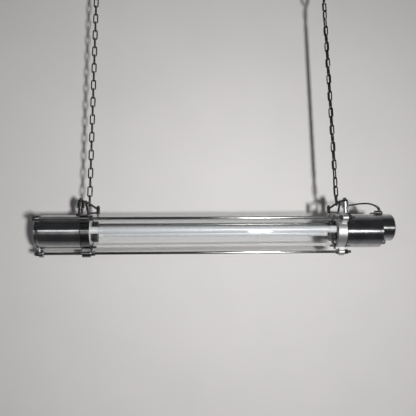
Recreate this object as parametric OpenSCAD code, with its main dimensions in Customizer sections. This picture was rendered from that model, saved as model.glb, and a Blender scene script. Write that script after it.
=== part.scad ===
// Twin-tube industrial pendant light: a glass-tube lamp hung from two long-link chains.
// Millimetres. X runs along the lamp, Z is up, and the ceiling plane is Z = 0.

/* [Suspension] */

// Distance from the ends of the lighting tubes out to each hanging point
hang_out = 13.5; // [10:0.5:16]
// Inside length of a chain link, which is also the chain pitch less the fit gap
link_pitch = 35; // [30:1:40]
// Diameter of the chain wire
link_wire = 5; // [4:0.5:5]
// Outside width of a chain link
link_width = 20; // [19:0.5:21]
// Number of links in each chain
link_count = 25; // [24:1:26]
// Distance from the ceiling to the centre of the hook wire at the bottom of the hook
hook_drop = 52; // [46:1:60]
// Diameter of the hook wire
hook_wire = 8; // [7:0.5:8]
// Diameter of the ceiling plates
ceiling_plate_d = 84; // [76:1:100]

/* [Castings] */

// Distance from the glass tube out to the outside of the two end housings
housing_out = 6; // [5:0.5:8]
// Wall thickness of the housings
housing_wall = 5; // [4:0.5:6]
// Distance from the ends of the lighting tubes out to the left ring
left_ring_step = 1.5; // [1:0.5:3]
// Thickness of the left ring
left_ring_w = 31; // [28:1:33]
// Distance from the ends of the lighting tubes back to the right ring
right_ring_back = 2.5; // [1:0.5:4]
// Thickness of the right ring
right_ring_w = 31; // [28:1:33]
// Length of the left housing
left_housing_l = 144; // [130:1:160]
// Thickness of the left end plate
left_plate_w = 16; // [12:1:20]
// Length of the right housing
right_housing_l = 131; // [120:1:140]
// Step from the side of the right housing in to its end cover
cover_step = 12; // [10:1:15]
// Length of the right end cover with its gasket
cover_l = 52; // [44:1:58]
// Distance from the outside of the housings out to the centres of the tie rods
rod_out = 16; // [15:0.5:18]
// Diameter of the tie rods
rod_d = 10; // [8:0.5:11]

/* [Lamp] */

// Outside diameter of the glass tube
glass_d = 112; // [108:1:120]
// Wall thickness of the glass tube
glass_wall = 4; // [3:0.5:5]
// Diameter of the lighting tubes
tube_d = 26; // [25:0.5:27]
// Length of the lighting tubes without their pins
tube_l = 895; // [800:5:1000]
// Distance between the centres of the two lighting tubes
tube_spacing = 52; // [50:1:54]
// Length of the end caps of the front lighting tube
front_cap_l = 26; // [20:1:34]
// Length of the end caps of the rear lighting tube
rear_cap_l = 37; // [20:1:44]

/* [Brackets] */

// Diameter of the pillar stem
pillar_d = 20; // [16:1:20]
// Diameter of the pillar head
pillar_head_d = 28; // [24:1:28]
// Diameter of the upper bar of the bail
bail_bar_d = 8; // [7:0.5:8]
// Distance from each hanging point in to the tip of its bail
bail_reach = 32; // [30:1:36]

/* [Flex] */

// Diameter of the supply flex
flex_d = 6; // [5:0.5:6]

/* [Hidden] */

$fn = 64;
fit_gap = 0.3;
touch = 1;
hex_factor = 1 / cos(30);
head_sides = 6;

// Places along the lamp, from the ends of the lighting tubes
tube_end = tube_l / 2;
tube_y = tube_spacing / 2;
hang_x = tube_end + hang_out;
groove_w = 3;
left_ring_x = tube_end + left_ring_step;
right_ring_x = tube_end - right_ring_back;
left_ring_out = left_ring_x + left_ring_w;
right_ring_out = right_ring_x + right_ring_w;
left_body_x = left_ring_out + groove_w;
right_body_x = right_ring_out + groove_w;
left_plate_x = left_body_x + left_housing_l;
right_end_x = right_body_x + right_housing_l;
boss_half_w = 10;
pillar_x = max(left_body_x, right_body_x) + boss_half_w;
bail_tip_x = hang_x - bail_reach;

// Radii of the castings and of what fits in them
glass_r = glass_d / 2;
housing_r = glass_r + housing_out;
housing_in_r = housing_r - housing_wall;
ring_proud = 1;
ring_r = housing_r + ring_proud;
gasket_inset = 2;
gasket_r = housing_r - gasket_inset;
spigot_r = housing_in_r - fit_gap;
spigot_wall = 5;
spigot_in_r = housing_in_r - spigot_wall;
spigot_l = 6;
seal_t = 3.5;
socket_r = glass_r + seal_t;
socket_l = 9;
seal_end_t = 1.5;
seal_inset = 0.5;
rod_r = housing_r + rod_out;
rod_angles = [30, 150, 270];
lug_r = 14;
lug_bore_r = rod_d / 2 + fit_gap;
left_lug_step = 1;
right_lug_step = 12;
left_lug_x = left_ring_x + left_lug_step;
right_lug_x = right_ring_x + right_lug_step;
plate_lug_back = 9;
plate_lug_x = left_plate_x - plate_lug_back;
plate_lug_w = 13;
plate_edge = 2;
plate_rim_w = 5;
plate_rim_x = left_plate_x + left_plate_w - plate_rim_w;
plate_neck_in = 2;
plate_neck_fall = 3;
plate_neck_r = housing_r - plate_neck_in - plate_neck_fall;
plate_spigot_l = 7;
plate_boss_r = 24;
plate_boss_h = 2;
pad_up = 1.5;
pad_z = ring_r + pad_up;
pad_half_y = 10;
pad_half_w = 7;

// Pillar levels above the lamp axis
boss_up = 2;
boss_top = housing_r + boss_up;
boss_half_y = 27;
pillar_spigot_r = 5;
pillar_spigot_l = 8;
pillar_spigot_low = boss_top - pillar_spigot_l;
stem_h = 20;
stem_top = boss_top + stem_h;
neck_r = 8;
neck_h = 5;
neck_top = stem_top + neck_h;
head_h = 20;
head_top = neck_top + head_h;
eye_r = 12;
pillar_bolt_d = 8;
pillar_bolt_in = 19;
pillar_bolt_end = head_top - pillar_bolt_in;
pillar_head_h = 6.5;
pillar_head_af = 13;
pillar_washer_r = 10;
pillar_washer_h = 1.6;

// Chain: wire centre to wire centre of one link, and the heights of its first and last wires
link_cc = link_pitch + link_wire + fit_gap;
bow_r = (link_width - link_wire) / 2;
top_wire_z = -hook_drop + (hook_wire + link_wire) / 2 + fit_gap;
function link_top(i) = top_wire_z - link_pitch * (i - 1);
function link_base_turn(i) = i % 2 == 1 ? 90 : 0;
twist_step = 15;
twist_full = 45;
function link_twist(i) = min(twist_full, twist_step * min(i - 1, link_count - i));

// Bail: the sloping bar passes through the last link at hang_x
bail_r = bail_bar_d / 2;
bail_slope = 32.7;
arm_drop = 5;
arm_above_axis = head_top - arm_drop;
arm_gap = (bail_r + link_wire / 2 + fit_gap) / cos(bail_slope);
arm_z = link_top(link_count) - link_cc + arm_gap;
axis_z = arm_z - arm_above_axis;
eye_h = 8.6;
bar_level = head_top + eye_h / 2;
kink_x = hang_x + (bar_level - arm_above_axis) / tan(bail_slope);
bar_end_in = 1;
bar_end_x = bail_tip_x + bar_end_in;
bar_low = arm_above_axis - (hang_x - bar_end_x) * tan(bail_slope);
leg_r = 4.2;
leg_foot_in = 16;
leg_foot_x = left_ring_x + leg_foot_in;
leg_foot_up = 5;
leg_foot_z = pad_z + leg_foot_up;
foot_h = 3;
brace_r = 3;
brace_rise = 1.5;
brace_tip_z = leg_foot_z + brace_rise;
foot_r = 6;
weld_bead = 0.4;
weld_r = leg_r + weld_bead;
bail_bolt_d = 6;
bail_bolt_show = 4;
bail_nut_h = 5;
bail_nut_af = 10;
bail_head_h = 4.5;
tip_boss_r = 6.5;
tip_boss_up = 1.5;
tip_boss_z = pad_z + tip_boss_up;
head_corner_x = bail_tip_x + bail_nut_af / 2 * hex_factor;
tip_seat_z = arm_above_axis - (hang_x - head_corner_x) * tan(bail_slope) + bail_r / cos(bail_slope) + fit_gap;
tip_boss_h = tip_seat_z - tip_boss_z;
bail_bolt_low = tip_boss_z - bail_nut_h - bail_bolt_show;

// Ceiling fixings
ceiling_plate_t = 6;
ceiling_hole_d = 5.5;
ceiling_hole_y = 30;
hook_bowl_r = 12;
hook_tip_up = 8;
hook_collar_r = 9;
hook_collar_h = 3;
outlet_dx = 17;
outlet_y = 17;
outlet_r = 7;
outlet_h = 5;
outlet_tip_r = 3.6;
outlet_tip_h = 7;

// Nuts and washers of the tie rods
nut_af = 17;
nut_h = 8;
lock_nut_h = 5;
washer_r = 10;
washer_h = 2;
acorn_hex_h = 11;
acorn_dome_r = 7.6;
acorn_side_h = 2.5;
acorn_dome_h = 8.5;
acorn_rounding = [[1, 2.5], [3, 4.5]];
thread_gap = 0.1;
rod_stub = 9;
rod_show = 12;
rod_left_end = plate_lug_x + plate_lug_w + washer_h + rod_stub;
rod_right_end = right_ring_out + washer_h + nut_h + lock_nut_h + rod_show;

// Carrier, lampholders and saddles, all turned a little about the lamp axis, front lighting tube up
holder_turn = 6;
carrier_gap = 1.5;
carrier_x = tube_end + carrier_gap;
carrier_t = 3;
carrier_r = 45;
ring_bore_gap = 1;
ring_bore_r = carrier_r + ring_bore_gap;
carrier_screw_in = 4;
carrier_screw_r = carrier_r - carrier_screw_in;
carrier_screw_l = 14.7;
carrier_lug_half = 6;
carrier_lug_h = 9;
carrier_lug_in = carrier_r - carrier_lug_h;
screw_r = 2;
screw_hole_r = 2.2;
screw_head_r = 3.5;
screw_head_h = 2.2;
rotor_r = 10.5;
rotor_gap = 0.5;
rotor_face_x = tube_end + rotor_gap;
rotor_l = 16;
rotor_hole_r = 11;
cup_r = 15;
cup_bore_r = 10.8;
holder_x = carrier_x + carrier_t;
holder_l = 16;
holder_half_z = 14;
holder_screw_z = 9;
holder_screw_l = 15;
holder_screw_in = carrier_x - holder_screw_l;
saddle_l = 20;
saddle_neck_l = 3;
saddle_x = carrier_x - saddle_neck_l - saddle_l;
saddle_half_z = 36;
saddle_half_y = 19;
saddle_chamfer = 4;
saddle_gap = 0.6;
saddle_neck_y = 9;
saddle_neck_z = 30;
pin_d = 2.4;
pin_l = 7;
pin_offset = 6.35;
pin_hole_r = 1.35;
pin_hole_l = 8;
cap_step = 0.3;
cap_collar_l = 6;

// Glass rests
rest_l = 18;
rest_t = 3.4;
rest_half_y = 8;
rest_tab_t = 3;
rest_screw_step = 7.5;
rest_screw_z = glass_r + rest_screw_step;
rest_tab_edge = 3.5;
rest_tab_low = rest_screw_z + rest_tab_edge;
rest_pad_edge = 0.5;
rest_pad_low = rest_tab_low + rest_pad_edge;
rest_screw_r = 1.5;
rest_head_r = 2.7;
rest_head_h = 2;
rest_screw_l = 7;

// Right end cover and its screws
cover_r = housing_r - cover_step;
cover_up = cover_step;
cover_wall = 4;
cover_round = 4;
cover_gasket_t = 2;
cover_gasket_inset = 2;
cover_seat_inset = 1.5;
end_wall = 8;
end_opening_step = 7;
end_opening_r = cover_r - end_opening_step;
cover_face_x = right_end_x + cover_l;
low_lug_out = 10;
low_lug_r = 9;
low_lug_l = 15;
low_lug_angle = 161;
lug_web_in = 3;
top_lug_out = 7;
top_lug_r = 8;
top_lug_l = 10;
top_lug_angle = 22;
// Angle from straight up towards the front, distance out from the cover, radius and length of each lug
cover_lugs = [
    [low_lug_angle, low_lug_out, low_lug_r, low_lug_l],
    [top_lug_angle, top_lug_out, top_lug_r, top_lug_l],
    [-top_lug_angle, top_lug_out, top_lug_r, top_lug_l],
];
cover_screw_r = 2.5;
cover_screw_hole_r = 2.8;
cover_head_r = 4.5;
cover_head_h = 4;
cover_screw_l = 22;
lug_back_l = 14;

// Terminal block in the right housing
shelf_in = 65;
shelf_x = right_end_x - shelf_in;
shelf_l = 24;
shelf_half_y = 26;
shelf_top = -30;
block_l = 20;
block_half_y = 22;
block_h = 18;
block_hole_r = 2;
block_hole_pitch = 10;
block_holes = 4;

// Gland
gland_boss_r = 13;
gland_x = right_end_x + gland_boss_r;
gland_boss_top = housing_r + boss_up;
gland_hex_af = 23;
gland_hex_h = 6;
gland_hex_top = gland_boss_top + gland_hex_h;
gland_thread_r = 8;
gland_thread_l = 12;
gland_thread_low = gland_boss_top - gland_thread_l;
gland_bore_r = flex_d / 2 + fit_gap;
gland_nut_af = 20;
gland_nut_h = 4;
gland_nut_top = gland_hex_top + gland_nut_h;
gland_tip_h = 5;
gland_tip_top = gland_nut_top + gland_tip_h;
gland_cone_r = 8.5;
gland_tip_r = 3.6;

// Flex paths, as points chosen by hand along each run
flex_out_y = 13.5;
flex_in_y = 8.8;
flex_sides = 8;
top_wire_end = link_top(1) - link_cc;
low_wire_end = link_top(link_count);
outlet_z = -ceiling_plate_t - outlet_h - outlet_tip_h;
flex_top_path = [
    [hang_x + outlet_dx, outlet_y, outlet_z],
    [hang_x + 16, 16.5, -32],
    [hang_x + 11, 15.5, -48],
    [hang_x + 5, 14.4, -66],
    [hang_x, flex_out_y, top_wire_end],
];
cross_from = 6;
cross_to = 20;
cross_near = 11;
cross_far = 19;
cross_side = 6.2;
cross_shift = -0.55;
function cross_z(i) = link_top(i) - link_cc / 2;
function cross_rings(i, s) = [
    [hang_x, s * flex_in_y, cross_z(i) + cross_far],
    [hang_x + s * cross_shift, s * cross_side, cross_z(i) + cross_near],
    [hang_x, 0, cross_z(i)],
    [hang_x - s * cross_shift, -s * cross_side, cross_z(i) - cross_near],
    [hang_x, -s * flex_in_y, cross_z(i) - cross_far],
];
flex_woven_path = concat(
    [
        [hang_x, flex_out_y, top_wire_end],
        [hang_x, flex_out_y, top_wire_end - 20],
        [hang_x, flex_out_y, top_wire_end - 50],
        [hang_x, 13, top_wire_end - 80],
        [hang_x, 11, top_wire_end - 106],
        [hang_x, 9.3, top_wire_end - 122],
    ],
    [for (i = [cross_from : 2 : cross_to]) each cross_rings(i, i % 4 == 2 ? 1 : -1)],
    [
        [hang_x, 9.3, low_wire_end + 122],
        [hang_x, 11, low_wire_end + 106],
        [hang_x, 13, low_wire_end + 80],
        [hang_x, flex_out_y, low_wire_end + 50],
        [hang_x, flex_out_y, low_wire_end + 20],
        [hang_x, flex_out_y, low_wire_end],
    ]
);
arc_start_z = low_wire_end - axis_z;
flex_arc_path = [
    [hang_x, flex_out_y, arc_start_z],
    [hang_x + 2, 15, 122],
    [hang_x + 10, 19.5, 109.5],
    [hang_x + 25, 21, 102],
    [hang_x + 43, 18.5, 99.5],
    [hang_x + 62, 13, 100.5],
    [hang_x + 83, 7, 103],
    [hang_x + 104, 3, 104],
    [gland_x - 38, 1, 103],
    [gland_x - 22, 0, 98.5],
    [gland_x - 9, 0, 92],
    [gland_x - 2, 0, 85.5],
    [gland_x, 0, gland_tip_top],
];

// Helpers

// Draws its children for the right end, or mirrored for the left end
module on_side(s) {
    if (s > 0) children();
    else mirror([1, 0, 0]) children();
}

// Moves its children from the lamp axis to their height below the ceiling
module at_lamp() translate([0, 0, axis_z]) children();

// Turns its children with the carriers
module turned() rotate([-holder_turn, 0, 0]) children();

// Moves its children from the lamp axis to one lug of the end cover, outwards along Z
module at_lug(g) {
    translate([0, 0, cover_up]) rotate([g[0], 0, 0]) translate([0, 0, cover_r + g[1]]) children();
}

// Cylinder along X from one distance to another
module along_x(from_x, to_x, r) {
    translate([from_x, 0, 0]) rotate([0, 90, 0]) cylinder(h = to_x - from_x, r = r);
}

// Tube along X from one distance to another
module pipe_x(from_x, to_x, r, bore) {
    difference() {
        along_x(from_x, to_x, r);
        along_x(from_x - touch, to_x + touch, bore);
    }
}

// Hexagonal prism along X
module hex_x(from_x, to_x, af) {
    translate([from_x, 0, 0]) rotate([0, 90, 0])
        cylinder(h = to_x - from_x, r = af / 2 * hex_factor, $fn = head_sides);
}

// Hexagonal prism along Z
module hex_z(from_z, to_z, af) {
    translate([0, 0, from_z]) cylinder(h = to_z - from_z, r = af / 2 * hex_factor, $fn = head_sides);
}

// Box given by two opposite corners
module box_between(a, b) translate(a) cube(b - a);

// Puts its children at each tie rod
module at_rods() {
    for (a = rod_angles) rotate([a, 0, 0]) translate([0, rod_r, 0]) children();
}

// Straight round bar between two points of the XZ plane
module bar_xz(a, b, r) {
    d = b - a;
    translate([a[0], 0, a[1]]) rotate([0, 90 - atan2(d[1], d[0]), 0]) cylinder(h = norm(d), r = r);
}

// Ball at a point of the XZ plane
module ball_xz(a, r) translate([a[0], 0, a[1]]) sphere(r = r);

// Round tube swept along a list of points, with level end faces
module swept_flex(path) {
    n = len(path);
    r = flex_d / 2;
    rings = [for (i = [0 : n - 1])
        let (
            end = i == 0 || i == n - 1,
            d = end ? [0, 0, -1] : path[i + 1] - path[i - 1],
            t = d / norm(d),
            c = cross(t, [0, 1, 0]),
            u = c / norm(c),
            v = cross(t, u)
        )
        for (k = [0 : flex_sides - 1])
            path[i] + r * (cos(k * 360 / flex_sides) * u + sin(k * 360 / flex_sides) * v)];
    sides = [for (i = [0 : n - 2]) for (k = [0 : flex_sides - 1])
        let (
            m = (k + 1) % flex_sides,
            a = i * flex_sides,
            b = a + flex_sides
        )
        [a + k, b + k, b + m, a + m]];
    first_face = [for (k = [0 : flex_sides - 1]) k];
    last_face = [for (k = [0 : flex_sides - 1]) n * flex_sides - 1 - k];
    polyhedron(points = rings, faces = concat([first_face], sides, [last_face]));
}

// Chain

// Half of a ring of wire, for the end of a link
module link_bow() {
    rotate([90, 0, 0]) rotate_extrude(angle = 180) translate([bow_r, 0]) circle(d = link_wire, $fn = 24);
}

// One link, with the centre of its upper wire at the given height
module link(i) {
    straight = link_cc - 2 * bow_r;
    translate([hang_x, 0, link_top(i) - bow_r]) {
        link_bow();
        for (s = [-1, 1]) translate([s * bow_r, 0, -straight]) cylinder(h = straight, d = link_wire, $fn = 24);
        translate([0, 0, -straight]) mirror([0, 0, 1]) link_bow();
    }
}

// One link turned about the line of its chain
module turned_link(i, twist) {
    translate([hang_x, 0, 0]) rotate([0, 0, link_base_turn(i) + twist]) translate([-hang_x, 0, 0]) link(i);
}

module left_top_link() color("silver") on_side(-1) turned_link(1, 0);
module right_top_link() color("silver") turned_link(1, 0);
module left_end_link() color("silver") on_side(-1) turned_link(link_count, 0);
module right_end_link() color("silver") turned_link(link_count, 0);

module left_chain() {
    color("silver") on_side(-1) for (i = [2 : link_count - 1]) turned_link(i, 0);
}

module right_chain() {
    color("silver") for (i = [2 : link_count - 1]) turned_link(i, link_twist(i));
}

// Ceiling fixings

// Round plate with two screw holes
module ceiling_plate(with_outlet) {
    difference() {
        translate([hang_x, 0, -ceiling_plate_t]) cylinder(h = ceiling_plate_t, d = ceiling_plate_d);
        for (s = [-1, 1]) translate([hang_x, s * ceiling_hole_y, -ceiling_plate_t - touch])
            cylinder(h = ceiling_plate_t + 2 * touch, d = ceiling_hole_d);
        if (with_outlet) translate([hang_x + outlet_dx, outlet_y, -ceiling_plate_t - touch])
            cylinder(h = ceiling_plate_t + 2 * touch, r = gland_bore_r);
    }
}

// Open hook of round wire below its plate
module ceiling_hook() {
    bowl_z = -hook_drop + hook_bowl_r;
    translate([hang_x - hook_bowl_r, 0, -ceiling_plate_t - hook_collar_h])
        cylinder(h = hook_collar_h, r = hook_collar_r);
    translate([hang_x - hook_bowl_r, 0, bowl_z])
        cylinder(h = -ceiling_plate_t - hook_collar_h - bowl_z + touch, d = hook_wire);
    translate([hang_x, 0, bowl_z]) mirror([0, 0, 1]) rotate([90, 0, 0])
        rotate_extrude(angle = 180) translate([hook_bowl_r, 0]) circle(d = hook_wire, $fn = 32);
    translate([hang_x + hook_bowl_r, 0, bowl_z]) cylinder(h = hook_tip_up, d = hook_wire);
    translate([hang_x + hook_bowl_r, 0, bowl_z + hook_tip_up]) sphere(d = hook_wire);
}

module left_ceiling_plate() color("gainsboro") on_side(-1) ceiling_plate(false);
module right_ceiling_plate() color("gainsboro") ceiling_plate(true);
module left_ceiling_hook() color("silver") on_side(-1) ceiling_hook();
module right_ceiling_hook() color("silver") ceiling_hook();

module outlet_bush() {
    color("dimgray") translate([hang_x + outlet_dx, outlet_y, 0]) {
        translate([0, 0, -ceiling_plate_t - outlet_h]) cylinder(h = outlet_h, r = outlet_r);
        translate([0, 0, outlet_z]) cylinder(h = outlet_tip_h, r1 = outlet_tip_r, r2 = outlet_r);
    }
}

// Castings

// Lug for a tie rod, at one rod, before its bore
module rod_lug(from_x, to_x) {
    along_x(from_x, to_x, lug_r);
    box_between([from_x, -rod_r + housing_r - housing_wall, -lug_r + touch], [to_x, 0, lug_r - touch]);
}

// Ring that holds one end of the glass tube and of the carrier
module glass_ring(x, w, lug_x, lug_end) {
    difference() {
        union() {
            along_x(x, x + w, ring_r);
            at_rods() rod_lug(lug_x, lug_end);
            box_between([leg_foot_x - pad_half_w, -pad_half_y, 0], [leg_foot_x + pad_half_w, pad_half_y, pad_z]);
            box_between([x, -rest_half_y, -rest_pad_low], [x + w - touch, rest_half_y, 0]);
        }
        along_x(x - touch, x + w + touch, ring_bore_r);
        along_x(x - touch, x + socket_l, socket_r);
        along_x(x + w - spigot_l, x + w + touch, housing_in_r);
        at_rods() along_x(x - touch, x + w + touch, lug_bore_r);
        translate([0, 0, -rest_screw_z]) along_x(x - touch, x + rest_screw_l, rest_screw_r + fit_gap / 2);
    }
    turned() for (s = [-1, 1]) difference() {
        box_between(
            [holder_x, -carrier_lug_half, min(s * carrier_lug_in, s * (ring_bore_r + touch))],
            [x + w - spigot_l, carrier_lug_half, max(s * carrier_lug_in, s * (ring_bore_r + touch))]
        );
        translate([0, 0, s * carrier_screw_r]) along_x(holder_x - touch, x + w, screw_hole_r);
    }
}

module left_ring() {
    color("gainsboro") at_lamp() on_side(-1)
        glass_ring(left_ring_x, left_ring_w, left_lug_x, left_ring_out);
}

module right_ring() {
    color("gainsboro") at_lamp() glass_ring(right_ring_x, right_ring_w, right_lug_x, right_ring_out);
}

// Raised seat for a pillar
module pillar_boss() {
    box_between(
        [pillar_x - boss_half_w, -boss_half_y, housing_in_r - housing_wall],
        [pillar_x + boss_half_w, boss_half_y, boss_top]
    );
}

// Shell of a housing with its spigot and its seat for the pillar
module housing_shell(x, end_x) {
    difference() {
        union() {
            along_x(x, end_x, housing_r);
            along_x(x - groove_w - spigot_l + fit_gap, x + touch, spigot_r);
            pillar_boss();
        }
        along_x(x - groove_w - spigot_l - touch, x + groove_w, spigot_in_r);
        along_x(x + groove_w - touch / 2, end_x + touch, housing_in_r);
        translate([pillar_x, 0, 0]) cylinder(h = boss_top + touch, r = pillar_spigot_r + fit_gap);
    }
}

module left_housing() {
    color("gainsboro") at_lamp() on_side(-1) housing_shell(left_body_x, left_plate_x);
}

// End wall of the right housing with its opening and its screw lugs
module right_end_wall() {
    difference() {
        union() {
            along_x(right_end_x - end_wall, right_end_x, housing_r);
            for (g = cover_lugs) at_lug(g) along_x(right_end_x - lug_back_l, right_end_x, g[2]);
        }
        translate([0, 0, cover_up]) along_x(right_end_x - lug_back_l - touch, right_end_x + touch, end_opening_r);
        for (g = cover_lugs) at_lug(g)
            along_x(right_end_x - lug_back_l - touch, right_end_x + touch, cover_screw_hole_r);
    }
}

// Shelf cast into the right housing for the terminal block
module terminal_shelf() {
    intersection() {
        box_between([shelf_x, -shelf_half_y, -housing_r], [shelf_x + shelf_l, shelf_half_y, shelf_top]);
        along_x(shelf_x - touch, shelf_x + shelf_l + touch, housing_r - housing_wall / 2);
    }
}

module right_housing() {
    color("gainsboro") at_lamp() {
        difference() {
            union() {
                housing_shell(right_body_x, right_end_x);
                terminal_shelf();
            }
            for (g = cover_lugs) at_lug(g)
                along_x(right_end_x - lug_back_l - touch, right_end_x + touch, cover_screw_hole_r);
        }
        right_end_wall();
    }
}

module flange_gaskets() {
    color("dimgray") at_lamp() {
        pipe_x(right_ring_out, right_body_x, gasket_r, housing_in_r);
        on_side(-1) pipe_x(left_ring_out, left_body_x, gasket_r, housing_in_r);
    }
}

module left_end_plate() {
    x_out = left_plate_x + left_plate_w;
    color("gainsboro") at_lamp() on_side(-1) difference() {
        union() {
            rotate([0, 90, 0]) rotate_extrude() polygon([
                [0, left_plate_x], [housing_r - plate_neck_in, left_plate_x],
                [plate_neck_r, plate_rim_x], [housing_r, plate_rim_x],
                [housing_r, x_out - plate_edge], [housing_r - plate_edge, x_out],
                [plate_boss_r, x_out], [plate_boss_r - plate_boss_h, x_out + plate_boss_h],
                [0, x_out + plate_boss_h],
            ]);
            pipe_x(left_plate_x - plate_spigot_l, left_plate_x + touch, spigot_r, spigot_in_r);
            at_rods() {
                along_x(plate_lug_x, plate_lug_x + plate_lug_w, lug_r);
                box_between(
                    [left_plate_x, plate_neck_r - rod_r, -lug_r + touch],
                    [plate_lug_x + plate_lug_w, 0, lug_r - touch]
                );
            }
        }
        at_rods() along_x(plate_lug_x - touch, x_out, lug_bore_r);
    }
}

module cover_gasket() {
    color("dimgray") at_lamp() translate([0, 0, cover_up])
        pipe_x(right_end_x, right_end_x + cover_gasket_t, cover_r - cover_gasket_inset, end_opening_r);
}

// Cover body without its openings
module cover_solid() {
    translate([0, 0, cover_up]) rotate([0, 90, 0]) rotate_extrude() polygon([
        [0, right_end_x + cover_gasket_t], [cover_r, right_end_x + cover_gasket_t],
        [cover_r, cover_face_x - cover_round], [cover_r - cover_round, cover_face_x],
        [0, cover_face_x],
    ]);
    for (g = cover_lugs) at_lug(g) {
        along_x(right_end_x, right_end_x + g[3], g[2]);
        box_between([right_end_x, -g[2] + touch, -g[1] - lug_web_in], [right_end_x + g[3], g[2] - touch, 0]);
    }
    translate([gland_x, 0, cover_up]) cylinder(h = gland_boss_top - cover_up, r = gland_boss_r);
}

module right_end_cover() {
    color("gainsboro") at_lamp() difference() {
        cover_solid();
        translate([0, 0, cover_up])
            along_x(right_end_x - touch, cover_face_x - cover_wall, cover_r - cover_wall);
        translate([0, 0, cover_up])
            along_x(right_end_x - touch, right_end_x + cover_gasket_t, cover_r - cover_seat_inset);
        for (g = cover_lugs) at_lug(g)
            along_x(right_end_x - touch, right_end_x + g[3] + touch, cover_screw_hole_r);
        translate([gland_x, 0, cover_up]) cylinder(h = housing_r, r = gland_thread_r + fit_gap);
    }
}

// Screw with its head against the face at x
module cover_screw(x) {
    difference() {
        union() {
            along_x(x - cover_screw_l, x + touch, cover_screw_r);
            along_x(x, x + cover_head_h, cover_head_r);
        }
        hex_x(x + cover_head_h / 2, x + cover_head_h + touch, cover_head_r);
    }
}

module cover_screws() color("silver") at_lamp() for (g = cover_lugs) at_lug(g) cover_screw(right_end_x + g[3]);

module terminal_block() {
    x = shelf_x + (shelf_l - block_l) / 2;
    color("ivory") at_lamp() difference() {
        box_between([x, -block_half_y, shelf_top], [x + block_l, block_half_y, shelf_top + block_h]);
        for (k = [0 : block_holes - 1])
            translate([x + block_l / 2, (k - (block_holes - 1) / 2) * block_hole_pitch, shelf_top + block_h / 2])
                cylinder(h = block_h, r = block_hole_r);
    }
}

// Glass

module glass_tube() {
    color("lightcyan", 0.4) at_lamp()
        pipe_x(
            -left_ring_x - socket_l + seal_end_t, right_ring_x + socket_l - seal_end_t,
            glass_r, glass_r - glass_wall
        );
}

// Seal around and behind one end of the glass
module glass_seal(x) {
    bottom = x + socket_l;
    rotate([0, 90, 0]) rotate_extrude() polygon([
        [glass_r, x + seal_inset], [socket_r, x + seal_inset], [socket_r, bottom],
        [glass_r - glass_wall, bottom], [glass_r - glass_wall, bottom - seal_end_t],
        [glass_r, bottom - seal_end_t],
    ]);
}

module left_glass_seal() color("dimgray") at_lamp() on_side(-1) glass_seal(left_ring_x);
module right_glass_seal() color("dimgray") at_lamp() glass_seal(right_ring_x);

// Small cradle under one end of the glass, screwed to the ring
module glass_rest(x) {
    difference() {
        union() {
            intersection() {
                pipe_x(x - rest_l, x, glass_r + rest_t, glass_r);
                box_between([x - rest_l - touch, -rest_half_y, -housing_r], [x + touch, rest_half_y, 0]);
            }
            difference() {
                box_between([x - rest_tab_t, -rest_half_y, -rest_tab_low], [x, rest_half_y, -glass_r - touch]);
                along_x(x - rest_l, x + touch, glass_r);
            }
        }
        translate([0, 0, -rest_screw_z]) along_x(x - rest_l - touch, x + touch, rest_screw_r + fit_gap / 2);
        translate([0, 0, -rest_screw_z]) along_x(x - rest_l - touch, x - rest_tab_t, rest_head_r + fit_gap);
    }
}

module left_glass_rest() color("dimgray") at_lamp() on_side(-1) glass_rest(left_ring_x);
module right_glass_rest() color("dimgray") at_lamp() glass_rest(right_ring_x);

// Screw of one glass rest
module rest_screw(x) {
    translate([0, 0, -rest_screw_z]) {
        along_x(x - rest_tab_t - touch, x + rest_screw_l - touch, rest_screw_r);
        along_x(x - rest_tab_t - rest_head_h, x - rest_tab_t, rest_head_r);
    }
}

module rest_screws() {
    color("silver") at_lamp() {
        rest_screw(right_ring_x);
        on_side(-1) rest_screw(left_ring_x);
    }
}

// Tie rods

// One tie rod at the given angle around the lamp axis
module tie_rod(a) {
    at_lamp() rotate([a, 0, 0]) translate([0, rod_r, 0]) along_x(-rod_left_end, rod_right_end, rod_d / 2);
}

module rear_tie_rod() color("silver") tie_rod(rod_angles[0]);
module front_tie_rod() color("silver") tie_rod(rod_angles[1]);
module bottom_tie_rod() color("silver") tie_rod(rod_angles[2]);

// Washer and hexagonal nut, the washer against the face at from_x
module nut_stack(from_x, way) {
    bore = rod_d / 2 + thread_gap;
    wash = from_x + way * washer_h;
    nut = wash + way * nut_h;
    difference() {
        union() {
            along_x(min(from_x, wash), max(from_x, wash), washer_r);
            hex_x(min(wash, nut), max(wash, nut), nut_af);
        }
        along_x(min(from_x, nut) - touch, max(from_x, nut) + touch, bore);
    }
}

// Thin second nut beside a nut that ends at from_x
module lock_nut(from_x, way) {
    a = from_x + way * fit_gap;
    b = from_x + way * lock_nut_h;
    difference() {
        hex_x(min(a, b), max(a, b), nut_af);
        along_x(min(a, b) - touch, max(a, b) + touch, rod_d / 2 + thread_gap);
    }
}

module rod_nuts() {
    color("silver") at_lamp() at_rods() {
        mirror([1, 0, 0]) {
            nut_stack(left_lug_x, -1);
            lock_nut(left_lug_x - washer_h - nut_h, -1);
        }
        nut_stack(right_lug_x, -1);
        nut_stack(right_ring_out, 1);
        lock_nut(right_ring_out + washer_h + nut_h, 1);
    }
}

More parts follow.
